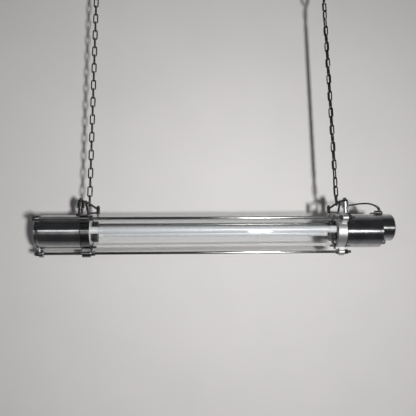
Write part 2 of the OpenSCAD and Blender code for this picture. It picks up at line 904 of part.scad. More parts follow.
module acorn_nuts() {
    x = plate_lug_x + plate_lug_w;
    dome_x = x + washer_h + acorn_hex_h;
    color("silver") at_lamp() on_side(-1) at_rods() difference() {
        union() {
            along_x(x, x + washer_h, washer_r);
            hex_x(x + washer_h, dome_x, nut_af);
            rotate([0, 90, 0]) rotate_extrude() polygon([
                [0, dome_x - touch], [acorn_dome_r, dome_x - touch], [acorn_dome_r, dome_x + acorn_side_h],
                for (c = acorn_rounding) [acorn_dome_r - c[0], dome_x + acorn_side_h + c[1]],
                [0, dome_x + acorn_dome_h],
            ]);
        }
        along_x(x - touch, rod_left_end + touch / 2, rod_d / 2 + thread_gap);
    }
}

// Pillars and bails

// Turned pillar with a groove under its head
module pillar() {
    translate([pillar_x, 0, 0]) difference() {
        union() {
            translate([0, 0, pillar_spigot_low])
                cylinder(h = boss_top - pillar_spigot_low + touch, r = pillar_spigot_r);
            translate([0, 0, boss_top]) cylinder(h = stem_top - boss_top, d = pillar_d);
            translate([0, 0, stem_top - touch]) cylinder(h = neck_top - stem_top + 2 * touch, r = neck_r);
            translate([0, 0, neck_top]) cylinder(h = head_top - neck_top, d = pillar_head_d);
        }
        translate([0, 0, pillar_bolt_end - touch])
            cylinder(h = head_top - pillar_bolt_end + 2 * touch, d = pillar_bolt_d + fit_gap);
    }
}

module left_pillar() color("gainsboro") at_lamp() on_side(-1) pillar();
module right_pillar() color("gainsboro") at_lamp() pillar();

// Bolt with its washer through the eye of one bail
module pillar_bolt() {
    seat = head_top + eye_h;
    translate([pillar_x, 0, 0]) {
        translate([0, 0, pillar_bolt_end]) cylinder(h = seat - pillar_bolt_end + touch, d = pillar_bolt_d);
        translate([0, 0, seat]) cylinder(h = pillar_washer_h, r = pillar_washer_r);
        hex_z(seat + pillar_washer_h, seat + pillar_washer_h + pillar_head_h, pillar_head_af);
    }
}

module pillar_bolts() {
    color("silver") at_lamp() {
        pillar_bolt();
        on_side(-1) pillar_bolt();
    }
}

// Triangular bail: eye on the pillar, sloping bar, leg on the ring, brace and tip boss
module bail() {
    kink = [kink_x, bar_level];
    low = [bar_end_x, bar_low];
    foot = [leg_foot_x, leg_foot_z];
    tip = [bail_tip_x, brace_tip_z];
    difference() {
        union() {
            translate([pillar_x, 0, head_top]) cylinder(h = eye_h, r = eye_r);
            bar_xz(kink, [pillar_x - eye_r / 2, bar_level], bail_r);
            ball_xz(kink, weld_r);
            bar_xz(low, kink, bail_r);
            bar_xz(foot, kink, leg_r);
            ball_xz(foot, weld_r);
            bar_xz(tip, foot, brace_r);
            translate([leg_foot_x, 0, pad_z]) cylinder(h = foot_h, r = foot_r);
            translate([bail_tip_x, 0, tip_boss_z]) cylinder(h = tip_boss_h, r = tip_boss_r);
        }
        translate([pillar_x, 0, head_top - touch])
            cylinder(h = eye_h + 2 * touch, d = pillar_bolt_d + 2 * fit_gap);
        translate([bail_tip_x, 0, tip_boss_z - touch])
            cylinder(h = tip_boss_h + 2 * touch, d = bail_bolt_d + 2 * fit_gap);
    }
}

module left_bail() color("silver") at_lamp() on_side(-1) bail();
module right_bail() color("silver") at_lamp() bail();

// Bolt through the tip of one bail
module bail_bolt() {
    seat = tip_boss_z + tip_boss_h;
    translate([bail_tip_x, 0, 0]) {
        translate([0, 0, bail_bolt_low]) cylinder(h = seat - bail_bolt_low + touch, d = bail_bolt_d);
        hex_z(seat, seat + bail_head_h, bail_nut_af);
    }
}

module bail_bolts() {
    color("silver") at_lamp() {
        bail_bolt();
        on_side(-1) bail_bolt();
    }
}

// Nut under the tip of one bail
module bail_nut() {
    translate([bail_tip_x, 0, 0]) difference() {
        hex_z(tip_boss_z - bail_nut_h, tip_boss_z, bail_nut_af);
        translate([0, 0, tip_boss_z - bail_nut_h - touch])
            cylinder(h = bail_nut_h + 2 * touch, d = bail_bolt_d + 2 * thread_gap);
    }
}

module bail_nuts() {
    color("silver") at_lamp() {
        bail_nut();
        on_side(-1) bail_nut();
    }
}

// Gland and flex

module gland_body() {
    color("dimgray") at_lamp() translate([gland_x, 0, 0]) difference() {
        union() {
            hex_z(gland_boss_top, gland_hex_top, gland_hex_af);
            translate([0, 0, gland_thread_low])
                cylinder(h = gland_boss_top - gland_thread_low + touch, r = gland_thread_r);
        }
        translate([0, 0, gland_thread_low - touch])
            cylinder(h = gland_hex_top - gland_thread_low + 2 * touch, r = gland_bore_r);
    }
}

module gland_nut() {
    color("dimgray") at_lamp() translate([gland_x, 0, 0]) {
        hex_z(gland_hex_top, gland_nut_top, gland_nut_af);
        translate([0, 0, gland_nut_top])
            cylinder(h = gland_tip_top - gland_nut_top, r1 = gland_cone_r, r2 = gland_tip_r);
    }
}

module flex_top() color("black") swept_flex(flex_top_path);
module flex_woven() color("black") swept_flex(flex_woven_path);
module flex_arc() color("black") at_lamp() swept_flex(flex_arc_path);

// Carriers, lampholders and saddles

module carrier() {
    difference() {
        along_x(carrier_x, carrier_x + carrier_t, carrier_r);
        for (s = [-1, 1]) {
            translate([0, s * tube_y, 0]) along_x(carrier_x - touch, holder_x + touch, rotor_hole_r);
            translate([0, 0, s * carrier_screw_r]) along_x(carrier_x - touch, holder_x + touch, screw_hole_r);
            translate([0, 0, s * holder_screw_z]) along_x(carrier_x - touch, holder_x + touch, screw_hole_r);
        }
    }
}

module left_carrier() color("white") at_lamp() turned() on_side(-1) carrier();
module right_carrier() color("white") at_lamp() turned() carrier();

// Screws of one carrier, heads on the side of the lighting tubes
module carrier_screw_pair() {
    for (s = [-1, 1]) translate([0, 0, s * carrier_screw_r]) {
        along_x(carrier_x - touch, carrier_x + carrier_screw_l, screw_r);
        along_x(carrier_x - screw_head_h, carrier_x, screw_head_r);
    }
}

module carrier_screws() {
    color("silver") at_lamp() turned() {
        carrier_screw_pair();
        on_side(-1) carrier_screw_pair();
    }
}

// Double lampholder behind one carrier
module lampholder() {
    difference() {
        union() {
            for (s = [-1, 1]) translate([0, s * tube_y, 0]) along_x(holder_x, holder_x + holder_l, cup_r);
            box_between([holder_x, -tube_y, -holder_half_z], [holder_x + holder_l, tube_y, holder_half_z]);
        }
        for (s = [-1, 1]) {
            translate([0, s * tube_y, 0])
                along_x(holder_x - touch, rotor_face_x + rotor_l + fit_gap, cup_bore_r);
            translate([0, 0, s * holder_screw_z])
                along_x(holder_x - touch, holder_x + holder_l + touch, screw_hole_r);
        }
    }
}

module left_lampholder() color("ivory") at_lamp() turned() on_side(-1) lampholder();
module right_lampholder() color("ivory") at_lamp() turned() lampholder();

// Screws that hold one lampholder and one saddle to their carrier
module holder_screw_pair() {
    x = holder_x + holder_l;
    for (s = [-1, 1]) translate([0, 0, s * holder_screw_z]) {
        along_x(holder_screw_in, x + touch, screw_r);
        along_x(x, x + screw_head_h, screw_head_r);
    }
}

module holder_screws() {
    color("silver") at_lamp() turned() {
        holder_screw_pair();
        on_side(-1) holder_screw_pair();
    }
}

// Block between the lighting tubes with a hollow for each of them
module tube_saddle() {
    difference() {
        union() {
            rotate([90, 0, 90]) translate([0, 0, saddle_x]) linear_extrude(saddle_l) polygon([
                [-saddle_half_y + saddle_chamfer, -saddle_half_z], [saddle_half_y - saddle_chamfer, -saddle_half_z],
                [saddle_half_y, -saddle_half_z + saddle_chamfer], [saddle_half_y, saddle_half_z - saddle_chamfer],
                [saddle_half_y - saddle_chamfer, saddle_half_z], [-saddle_half_y + saddle_chamfer, saddle_half_z],
                [-saddle_half_y, saddle_half_z - saddle_chamfer], [-saddle_half_y, -saddle_half_z + saddle_chamfer],
            ]);
            box_between(
                [carrier_x - saddle_neck_l - touch, -saddle_neck_y, -saddle_neck_z],
                [carrier_x, saddle_neck_y, saddle_neck_z]
            );
        }
        for (s = [-1, 1]) {
            translate([0, s * tube_y, 0])
                along_x(saddle_x - touch, carrier_x + touch, tube_d / 2 + saddle_gap);
            translate([0, 0, s * holder_screw_z])
                along_x(holder_screw_in - touch, carrier_x + touch, screw_r + fit_gap / 2);
        }
    }
}

module left_tube_saddle() color("dimgray") at_lamp() turned() on_side(-1) tube_saddle();
module right_tube_saddle() color("dimgray") at_lamp() turned() tube_saddle();

// Lighting tubes

// Moves its children to one lighting tube
module at_tube(s) at_lamp() turned() translate([0, s * tube_y, 0]) children();

// Glowing part of one lighting tube
module tube_diffuser(cap_l) along_x(-tube_end + cap_l, tube_end - cap_l, tube_d / 2 - cap_step);

// Caps of one lighting tube
module tube_caps(cap_l) {
    for (s = [-1, 1]) on_side(s) {
        along_x(tube_end - cap_l, tube_end, tube_d / 2 - cap_step / 2);
        along_x(tube_end - cap_l, tube_end - cap_l + cap_collar_l, tube_d / 2);
    }
}

// Pins of one lighting tube
module tube_pins() {
    for (s = [-1, 1]) on_side(s) for (y = [-pin_offset, pin_offset])
        translate([0, y, 0]) along_x(tube_end, tube_end + pin_l, pin_d / 2);
}

// Turning inserts of the lampholders for one lighting tube
module tube_rotors() {
    for (s = [-1, 1]) on_side(s) difference() {
        along_x(rotor_face_x, rotor_face_x + rotor_l, rotor_r);
        for (y = [-pin_offset, pin_offset])
            translate([0, y, 0]) along_x(rotor_face_x - touch, rotor_face_x + pin_hole_l, pin_hole_r);
    }
}

module front_diffuser() color("white") at_tube(-1) tube_diffuser(front_cap_l);
module front_caps() color("silver") at_tube(-1) tube_caps(front_cap_l);
module front_pins() color("gold") at_tube(-1) tube_pins();
module front_rotors() color("white") at_tube(-1) tube_rotors();
module rear_diffuser() color("white") at_tube(1) tube_diffuser(rear_cap_l);
module rear_caps() color("silver") at_tube(1) tube_caps(rear_cap_l);
module rear_pins() color("gold") at_tube(1) tube_pins();
module rear_rotors() color("white") at_tube(1) tube_rotors();

left_ceiling_plate();
right_ceiling_plate();
left_ceiling_hook();
right_ceiling_hook();
outlet_bush();
flex_top();
left_top_link();
left_chain();
left_end_link();
right_top_link();
right_chain();
right_end_link();
flex_woven();
left_end_plate();
left_housing();
flange_gaskets();
left_ring();
right_ring();
right_housing();
cover_gasket();
right_end_cover();
cover_screws();
terminal_block();
glass_tube();
left_glass_seal();
right_glass_seal();
left_glass_rest();
right_glass_rest();
rest_screws();
front_tie_rod();
rear_tie_rod();
bottom_tie_rod();
rod_nuts();
acorn_nuts();
left_pillar();
right_pillar();
pillar_bolts();
left_bail();
right_bail();
bail_bolts();
bail_nuts();
gland_body();
gland_nut();
flex_arc();
left_carrier();
right_carrier();
carrier_screws();
left_lampholder();
right_lampholder();
holder_screws();
left_tube_saddle();
right_tube_saddle();
front_diffuser();
front_caps();
front_pins();
front_rotors();
rear_diffuser();
rear_caps();
rear_pins();
rear_rotors();
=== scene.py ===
# Pendant light: two lighting tubes in a clear glass tube, hung from two long-link chains.
# Lengths are in metres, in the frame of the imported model: X along the lamp, Z up, ceiling at 0.
import math

import bmesh
import bpy
from mathutils import Matrix, Vector


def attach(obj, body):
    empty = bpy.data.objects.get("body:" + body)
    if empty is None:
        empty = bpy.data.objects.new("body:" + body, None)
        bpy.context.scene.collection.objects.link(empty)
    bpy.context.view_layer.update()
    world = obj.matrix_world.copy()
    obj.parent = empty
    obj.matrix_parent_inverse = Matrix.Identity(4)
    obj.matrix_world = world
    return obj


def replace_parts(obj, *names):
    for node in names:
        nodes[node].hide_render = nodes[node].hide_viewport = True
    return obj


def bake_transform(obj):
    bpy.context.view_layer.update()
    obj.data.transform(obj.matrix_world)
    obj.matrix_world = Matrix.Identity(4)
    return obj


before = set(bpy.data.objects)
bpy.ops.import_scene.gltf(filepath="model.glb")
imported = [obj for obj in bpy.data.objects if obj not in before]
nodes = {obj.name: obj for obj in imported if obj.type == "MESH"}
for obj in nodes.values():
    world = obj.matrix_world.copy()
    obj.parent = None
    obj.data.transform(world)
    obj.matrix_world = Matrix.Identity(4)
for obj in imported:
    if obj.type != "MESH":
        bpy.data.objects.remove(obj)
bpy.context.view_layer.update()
scene = bpy.context.scene
scene.view_settings.view_transform = "Standard"

MM = 0.001
AXIS_Z = -1.0214  # height of the lamp axis
HANG_X = 0.461  # distance of each chain from the middle


# Camera: the photograph's viewpoint, a little below the lamp and looking up

def make_camera():
    focal_pixels, photo_pixels, sensor = 488, 416, 36
    yaw, pitch, roll = math.radians(3.20), math.radians(10.64), math.radians(-0.73)
    look = Vector((math.sin(yaw) * math.cos(pitch), math.cos(yaw) * math.cos(pitch), math.sin(pitch)))
    right = Vector((math.cos(yaw), -math.sin(yaw), 0))
    up = right.cross(look)
    right_r = math.cos(roll) * right + math.sin(roll) * up
    up_r = -math.sin(roll) * right + math.cos(roll) * up
    data = bpy.data.cameras.new("camera")
    data.sensor_width = sensor
    data.lens = focal_pixels / photo_pixels * sensor
    data.clip_start, data.clip_end = 0.02, 60
    cam = bpy.data.objects.new("camera", data)
    scene.collection.objects.link(cam)
    axes = Matrix((right_r, up_r, -look)).transposed().to_4x4()
    cam.matrix_world = Matrix.Translation((-0.125, -1.780, AXIS_Z - 0.247)) @ axes
    scene.camera = cam


make_camera()


# Mesh helpers

def add_object(name, verts, faces, smooth=True):
    mesh = bpy.data.meshes.new(name)
    mesh.from_pydata([tuple(v) for v in verts], [], faces)
    mesh.validate()
    mesh.update()
    if smooth:
        mesh.polygons.foreach_set("use_smooth", [True] * len(mesh.polygons))
    obj = bpy.data.objects.new(name, mesh)
    scene.collection.objects.link(obj)
    return obj


def curved(points, steps):
    """A smooth line through the points, with steps parts between each two of them."""
    p = [Vector(q) for q in points]
    p = [p[0] * 2 - p[1], *p, p[-1] * 2 - p[-2]]
    line = []
    for i in range(1, len(p) - 2):
        a, b, c, d = p[i - 1:i + 3]
        for k in range(steps):
            t = k / steps
            line.append(0.5 * (2 * b + (c - a) * t + (2 * a - 5 * b + 4 * c - d) * t * t
                               + (3 * b - a - 3 * c + d) * t ** 3))
    return [*line, p[-2].copy()]


def swept(line, radii, sides, ends=(None, None)):
    """Vertices and faces of a closed round tube along a line; ends are its end directions."""
    n = len(line)
    verts, faces = [], []
    for i, p in enumerate(line):
        t = (line[min(i + 1, n - 1)] - line[max(i - 1, 0)]).normalized()
        if i == 0 and ends[0]:
            t = Vector(ends[0])
        if i == n - 1 and ends[1]:
            t = Vector(ends[1])
        u = t.cross(Vector((0, 1, 0))).normalized()
        v = t.cross(u)
        r = radii[i] if isinstance(radii, (list, tuple)) else radii
        for k in range(sides):
            a = 2 * math.pi * k / sides
            verts.append(p + r * (math.cos(a) * u + math.sin(a) * v))
    for i in range(n - 1):
        for k in range(sides):
            m = (k + 1) % sides
            faces.append((i * sides + k, (i + 1) * sides + k, (i + 1) * sides + m, i * sides + m))
    faces.append(tuple(range(sides)))
    faces.append(tuple((n - 1) * sides + k for k in reversed(range(sides))))
    return verts, faces


def lathe_parts(profile, sides, place):
    """Vertices and faces of a closed turned form; profile is (along, radius) and runs end to end."""
    verts = [place @ Vector((profile[0][0], 0, 0))]
    rings = []
    for x, r in profile:
        rings.append(len(verts))
        for k in range(sides):
            a = 2 * math.pi * k / sides
            verts.append(place @ Vector((x, r * math.cos(a), r * math.sin(a))))
    last = len(verts)
    verts.append(place @ Vector((profile[-1][0], 0, 0)))
    faces = []
    for k in range(sides):
        m = (k + 1) % sides
        faces.append((0, rings[0] + m, rings[0] + k))
        for a, b in zip(rings, rings[1:]):
            faces.append((a + k, a + m, b + m, b + k))
        faces.append((rings[-1] + k, rings[-1] + m, last))
    return verts, faces


def joined(parts):
    verts, faces = [], []
    for v, f in parts:
        base = len(verts)
        verts += v
        faces += [tuple(i + base for i in q) for q in f]
    return verts, faces


def tidy_normals(obj):
    bm = bmesh.new()
    bm.from_mesh(obj.data)
    bmesh.ops.recalc_face_normals(bm, faces=bm.faces)
    bm.to_mesh(obj.data)
    bm.free()


# Supply flex, in three lengths: from the outlet, down the right chain, and over to the gland

FLEX_D = 0.006
LINKS = 25  # links in each chain, with the top link and the end link
LINK_PITCH = 35  # from one link to the next, in mm, as the other lengths of the chain
LINK_HEIGHT = 40.3  # from the upper wire of a link to its lower wire
TOP_WIRE = -45.2  # height of the upper wire of the first link
TOP_END = TOP_WIRE - LINK_HEIGHT
LOW_END = TOP_WIRE - (LINKS - 1) * LINK_PITCH
OUT_Y = 13.5  # distance of the flex from the chain where it runs beside it


def link_middle(i):
    return TOP_WIRE - LINK_PITCH * (i - 1) - LINK_HEIGHT / 2


def at_hang(x, y, z):
    return Vector((HANG_X + x * MM, y * MM, z * MM))


flex_top_points = [
    at_hang(17, 17, -18), at_hang(16, 16.5, -32), at_hang(11, 15.5, -48),
    at_hang(5, 14.4, -66), at_hang(0, OUT_Y, TOP_END),
]
run_in = [(OUT_Y, 0), (OUT_Y, 20), (OUT_Y, 50), (13, 80), (11, 106), (9.3, 122)]
crossing = [(0, 8.8, 19), (-0.55, 6.2, 11), (0, 0, 0), (0.55, -6.2, -11), (0, -8.8, -19)]
flex_woven_points = [at_hang(0, y, TOP_END - dz) for y, dz in run_in]
for link in range(6, 21, 2):
    side = 1 if link % 4 == 2 else -1
    flex_woven_points += [at_hang(side * x, side * y, link_middle(link) + dz) for x, y, dz in crossing]
flex_woven_points += [at_hang(0, y, LOW_END + dz) for y, dz in reversed(run_in)]
flex_arc_points = [at_hang(x, y, z + AXIS_Z / MM) for x, y, z in [
    (0, OUT_Y, 136.2), (2, 15, 122), (10, 19.5, 109.5), (25, 21, 102), (43, 18.5, 99.5),
    (62, 13, 100.5), (83, 7, 103), (104, 3, 104), (124, 1, 103), (140, 0, 98.5),
    (153, 0, 92), (160, 0, 85.5), (162, 0, 79),
]]


def make_cord(name, points, steps, replaced):
    line = curved(points, steps)
    down = (0, 0, -1)
    obj = add_object(name, *swept(line, FLEX_D / 2, 16, (down, down)))
    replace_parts(obj, replaced)
    return obj


cord_top = make_cord("flex_top_cord", flex_top_points, 6, "flex_top")
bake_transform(cord_top)
cord_woven = make_cord("flex_woven_cord", flex_woven_points, 5, "flex_woven")
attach(cord_woven, "right_chain")
cord_arc = make_cord("flex_arc_cord", flex_arc_points, 6, "flex_arc")
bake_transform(cord_arc)


# Materials

class Shader:
    """One node material, whose detail is read in the frame's own coordinates."""

    def __init__(self, name, **sockets):
        self.mat = bpy.data.materials.new(name)
        self.mat.use_nodes = True
        self.tree = self.mat.node_tree
        self.tree.nodes.clear()
        self.out = self.tree.nodes.new("ShaderNodeOutputMaterial")
        self.bsdf = self.tree.nodes.new("ShaderNodeBsdfPrincipled")
        self.link(self.bsdf.outputs[0], self.out.inputs["Surface"])
        self.place = self.tree.nodes.new("ShaderNodeTexCoord").outputs["Object"]
        self.normal = None
        for key, value in sockets.items():
            self.bsdf.inputs[key.replace("_", " ")].default_value = value

    def link(self, a, b):
        self.tree.links.new(a, b)

    def scaled(self, stretch):
        node = self.tree.nodes.new("ShaderNodeMapping")
        node.inputs["Scale"].default_value = stretch
        self.link(self.place, node.inputs["Vector"])
        return node.outputs[0]

    def noise(self, scale, detail=3, stretch=(1, 1, 1), rough=0.55, distort=0.0):
        node = self.tree.nodes.new("ShaderNodeTexNoise")
        node.inputs["Scale"].default_value = scale
        node.inputs["Detail"].default_value = detail
        node.inputs["Roughness"].default_value = rough
        node.inputs["Distortion"].default_value = distort
        self.link(self.scaled(stretch), node.inputs["Vector"])
        return node.outputs[0]

    def span(self, value, low, high, at=(0.3, 0.7)):
        node = self.tree.nodes.new("ShaderNodeMapRange")
        node.inputs["From Min"].default_value, node.inputs["From Max"].default_value = at
        node.inputs["To Min"].default_value, node.inputs["To Max"].default_value = low, high
        self.link(value, node.inputs["Value"])
        return node.outputs[0]

    def blend(self, value, a, b, at=(0.3, 0.7)):
        node = self.tree.nodes.new("ShaderNodeValToRGB")
        for stop, position, color in zip(node.color_ramp.elements, at, (a, b)):
            stop.position, stop.color = position, (*color, 1)
        self.link(value, node.inputs["Fac"])
        return node.outputs[0]

    def mixed(self, factor, a, b):
        node = self.tree.nodes.new("ShaderNodeMix")
        node.data_type = "RGBA"
        self.link(factor, node.inputs[0])
        for socket, value in ((node.inputs[6], a), (node.inputs[7], b)):
            if isinstance(value, tuple):
                socket.default_value = (*value, 1)
            else:
                self.link(value, socket)
        return node.outputs[2]

    def color(self, value):
        self.link(value, self.bsdf.inputs["Base Color"])

    def roughness(self, value):
        self.link(value, self.bsdf.inputs["Roughness"])

    def bump(self, height, depth):
        """Adds relief of that depth in metres, over any relief before it."""
        node = self.tree.nodes.new("ShaderNodeBump")
        node.inputs["Strength"].default_value = 1.0
        node.inputs["Distance"].default_value = depth
        self.link(height, node.inputs["Height"])
        if self.normal is not None:
            self.link(self.normal, node.inputs["Normal"])
        self.normal = node.outputs[0]
        self.link(self.normal, self.bsdf.inputs["Normal"])

    def clear_where(self, factor, color):
        """Lets light straight through, tinted by color, where factor is 1."""
        clear = self.tree.nodes.new("ShaderNodeBsdfTransparent")
        clear.inputs["Color"].default_value = color
        mix = self.tree.nodes.new("ShaderNodeMixShader")
        self.link(factor, mix.inputs[0])
        self.link(self.bsdf.outputs[0], mix.inputs[1])
        self.link(clear.outputs[0], mix.inputs[2])
        self.link(mix.outputs[0], self.out.inputs["Surface"])


def shade(gray, tint):
    return tuple(gray * t for t in tint)


PLAIN = (1.0, 1.0, 1.0)
COOL = (0.985, 0.992, 1.0)
WARM = (1.0, 0.985, 0.955)
IVORY = (1.0, 0.97, 0.88)


def turned_metal(name, low, high, rough, waves, axis="X"):
    """Metal turned and polished on a lathe: fine rings across its axis, which spread a highlight
    along the axis, soft unevenness, faint stains."""
    s = Shader(name, Metallic=1.0, Anisotropic=0.8, Anisotropic_Rotation=0.25)
    around = s.tree.nodes.new("ShaderNodeTangent")
    around.direction_type = "RADIAL"
    around.axis = axis
    s.link(around.outputs[0], s.bsdf.inputs["Tangent"])
    stain = s.noise(22, 4, rough=0.6, distort=0.4)
    s.color(s.blend(stain, shade(low, COOL), shade(high, COOL), (0.32, 0.62)))
    rings = s.noise(1, 2, (1500, 18, 18) if axis == "X" else (18, 18, 1500), rough=0.7)
    haze = s.noise(90, 5, rough=0.65)
    s.roughness(s.span(s.mixed(s.noise(35), haze, rings), *rough))
    s.bump(rings, 0.000012)
    s.bump(s.noise(38, 2), waves)
    return s.mat


def brass(name, dark, light, rough, grain):
    """Brass with a satin skin, a fine pebble grain and darker patches at random."""
    s = Shader(name, Metallic=1.0)
    s.color(s.blend(s.noise(45, 5, rough=0.6), dark, light))
    s.roughness(s.span(s.noise(160, 4), *rough))
    s.bump(s.noise(700, 3), grain)
    s.bump(s.noise(60, 2), grain * 2)
    return s.mat


def drawn_metal(name, low, high, rough, along):
    """Drawn bar or wire: fine lines along one axis, over patchy tarnish."""
    s = Shader(name, Metallic=1.0)
    stretch = tuple(12 if i == along else 900 for i in range(3))
    s.color(s.blend(s.noise(70, 5, rough=0.7), shade(low, WARM), shade(high, COOL)))
    lines = s.noise(1, 2, stretch)
    s.roughness(s.span(s.mixed(s.noise(120, 4), lines, s.noise(500)), *rough))
    s.bump(lines, 0.000015)
    return s.mat


def plated_metal(name, low, high, rough, scale=300):
    """Zinc plate: small soft flakes of light and dark, and a fine grain."""
    s = Shader(name, Metallic=1.0)
    cells = s.tree.nodes.new("ShaderNodeTexVoronoi")
    cells.inputs["Scale"].default_value = scale
    s.link(s.scaled((1, 1, 1)), cells.inputs["Vector"])
    flakes = s.mixed(s.noise(55, 4), cells.outputs["Color"], s.noise(240))
    s.color(s.blend(flakes, shade(low, COOL), shade(high, WARM), (0.2, 0.8)))
    s.roughness(s.span(s.noise(180, 5, rough=0.7), *rough))
    s.bump(s.noise(900, 3), 0.00002)
    return s.mat


def rubber(name, low, high, rough, grain, stretch=(1, 1, 1)):
    """Matt black sheath or seal with dust in its grain."""
    s = Shader(name, Specular_IOR_Level=0.2)
    s.color(s.blend(s.noise(60, 5, rough=0.7), shade(low, WARM), shade(high, WARM), (0.35, 0.75)))
    s.roughness(s.span(s.noise(350, 4), *rough))
    s.bump(s.noise(900, 3, stretch), grain)
    return s.mat


def moulded(name, low, high, rough, grain, tint=PLAIN):
    """Moulded plastic: even colour with faint flow marks, fine spark-eroded skin."""
    s = Shader(name)
    s.color(s.blend(s.noise(30, 3, (1, 1, 0.3)), shade(low, tint), shade(high, tint)))
    s.roughness(s.span(s.noise(140, 4), *rough))
    s.bump(s.noise(600, 3), grain)
    return s.mat


def painted(name, low, high, rough, tint=PLAIN):
    """Baked enamel: orange peel, faint grime."""
    s = Shader(name)
    grime = s.noise(40, 6, rough=0.7)
    s.color(s.blend(grime, shade(low, tint), shade(high, tint), (0.3, 0.5)))
    s.roughness(s.span(s.noise(200, 4), *rough))
    s.bump(s.noise(420, 2), 0.00003)
    return s.mat


def glass():
    """Clear drawn glass with slow waves in its wall. Shadow and diffuse rays pass straight through,
    so that the pieces inside are lit once by each lamp."""
    s = Shader("clear_glass", Base_Color=(0.96, 0.966, 0.966, 1), Transmission_Weight=1.0, IOR=1.47,
               Roughness=0.0)
    s.roughness(s.span(s.noise(25, 5, rough=0.7), 0.0, 0.03, (0.45, 0.8)))
    s.bump(s.noise(9, 2, (0.2, 1, 1)), 0.00025)
    path = s.tree.nodes.new("ShaderNodeLightPath")
    either = s.tree.nodes.new("ShaderNodeMath")
    either.operation = "MAXIMUM"
    s.link(path.outputs["Is Shadow Ray"], either.inputs[0])
    s.link(path.outputs["Is Diffuse Ray"], either.inputs[1])
    s.clear_where(either.outputs[0], (0.985, 0.99, 0.99, 1))
    return s.mat


def diffuser():
    """Opal tube, bluish white, a little greyer towards its caps."""
    s = Shader("opal_tube", IOR=1.5, Coat_Weight=0.3, Coat_Roughness=0.05)
    split = s.tree.nodes.new("ShaderNodeSeparateXYZ")
    s.link(s.place, split.inputs[0])
    size = s.tree.nodes.new("ShaderNodeMath")
    size.operation = "ABSOLUTE"
    s.link(split.outputs["X"], size.inputs[0])
    ends = s.span(size.outputs[0], 0.0, 1.0, (0.33, 0.425))
    body = s.blend(s.noise(14, 4), (0.68, 0.695, 0.73), (0.72, 0.735, 0.77))
    s.color(s.mixed(ends, body, (0.66, 0.67, 0.69)))
    s.roughness(s.span(s.noise(80, 4), 0.22, 0.34))
    s.bump(s.noise(6, 2, (1, 8, 8)), 0.00008)
    return s.mat


MATERIALS = {
    "housing": turned_metal("polished_casting", 0.34, 0.50, (0.14, 0.25), 0.00022),
    # The two rings are a dark and a light copy of one metal: painted shade on the left ring, a painted
    # highlight on the right ring.
    "ring": turned_metal("dark_ring", 0.15, 0.25, (0.16, 0.28), 0.00018),
    "satin_painted_highlight": turned_metal("satin_ring", 0.78, 0.90, (0.58, 0.70), 0.00018),
    # The two pillars are a light and a dark copy of one metal: a painted highlight on the right
    # pillar, painted shade on the left pillar.
    "pillar": turned_metal("turned_pillar", 0.74, 0.88, (0.34, 0.46), 0.00006, axis="Z"),
    "dark_pillar": turned_metal("dark_pillar", 0.08, 0.20, (0.16, 0.30), 0.00006, axis="Z"),
    "rod": drawn_metal("drawn_rod", 0.20, 0.34, (0.10, 0.22), 0),
    "chain": plated_metal("chain_steel", 0.07, 0.18, (0.14, 0.32)),
    "bail": plated_metal("bail_steel", 0.12, 0.26, (0.12, 0.28)),
    "fixing": plated_metal("plated_fixings", 0.34, 0.56, (0.12, 0.26), 500),
    "hook": plated_metal("hook_steel", 0.32, 0.50, (0.18, 0.34)),
    "gasket": rubber("gasket_rubber", 0.018, 0.032, (0.6, 0.8), 0.00003),
    "seal": rubber("seal_rubber", 0.05, 0.075, (0.5, 0.7), 0.00003),
    "flex": rubber("flex_sheath", 0.006, 0.014, (0.56, 0.72), 0.00004, (1, 1, 0.25)),
    "black": moulded("black_plastic", 0.012, 0.022, (0.28, 0.42), 0.00002),
    "ribbed": moulded("saddle_plastic", 0.010, 0.018, (0.30, 0.45), 0.00002),
    "white": moulded("holder_plastic", 0.70, 0.78, (0.25, 0.38), 0.00001, WARM),
    "cap": moulded("cap_plastic", 0.76, 0.82, (0.14, 0.26), 0.00001),
    "ivory": moulded("block_plastic", 0.66, 0.74, (0.30, 0.45), 0.00001, IVORY),
    "plate": painted("carrier_enamel", 0.84, 0.91, (0.22, 0.38)),
    "ceiling": painted("ceiling_enamel", 0.60, 0.68, (0.30, 0.45), COOL),
    "brass": brass("pin_brass", (0.55, 0.40, 0.17), (0.74, 0.57, 0.27), (0.2, 0.35), 0.00001),
    "glass": glass(),
    "tube": diffuser(),
}

WEAR = {
    "housing": ["left_housing", "right_housing", "left_end_plate", "right_end_cover"],
    # The left ring wears the copy with painted shade, the right ring the copy with a painted
    # highlight.
    "ring": ["left_ring"],
    "satin_painted_highlight": ["right_ring"],
    # The right pillar wears the copy with a painted highlight, the left pillar the copy with painted
    # shade.
    "pillar": ["right_pillar"],
    "dark_pillar": ["left_pillar"],
    "rod": ["front_tie_rod", "rear_tie_rod", "bottom_tie_rod"],
    "chain": ["left_top_link", "left_chain", "left_end_link",
              "right_top_link", "right_chain", "right_end_link"],
    "bail": ["left_bail", "right_bail"],
    "fixing": ["rod_nuts", "acorn_nuts", "pillar_bolts", "bail_bolts", "bail_nuts", "cover_screws",
               "rest_screws", "carrier_screws", "holder_screws"],
    "hook": ["left_ceiling_hook", "right_ceiling_hook"],
    "gasket": ["flange_gaskets", "cover_gasket"],
    "seal": ["left_glass_seal", "right_glass_seal"],
    "black": ["outlet_bush", "gland_body", "gland_nut", "left_glass_rest", "right_glass_rest"],
    "ribbed": ["left_tube_saddle", "right_tube_saddle"],
    "white": ["left_lampholder", "right_lampholder", "front_rotors", "rear_rotors"],
    "cap": ["front_caps", "rear_caps"],
    "ivory": ["terminal_block"],
    "plate": ["left_carrier", "right_carrier"],
    "ceiling": ["left_ceiling_plate", "right_ceiling_plate"],
    "brass": ["front_pins", "rear_pins"],
    "glass": ["glass_tube"],
    "tube": ["front_diffuser", "rear_diffuser"],
    "flex": ["flex_top", "flex_woven", "flex_arc"],
}


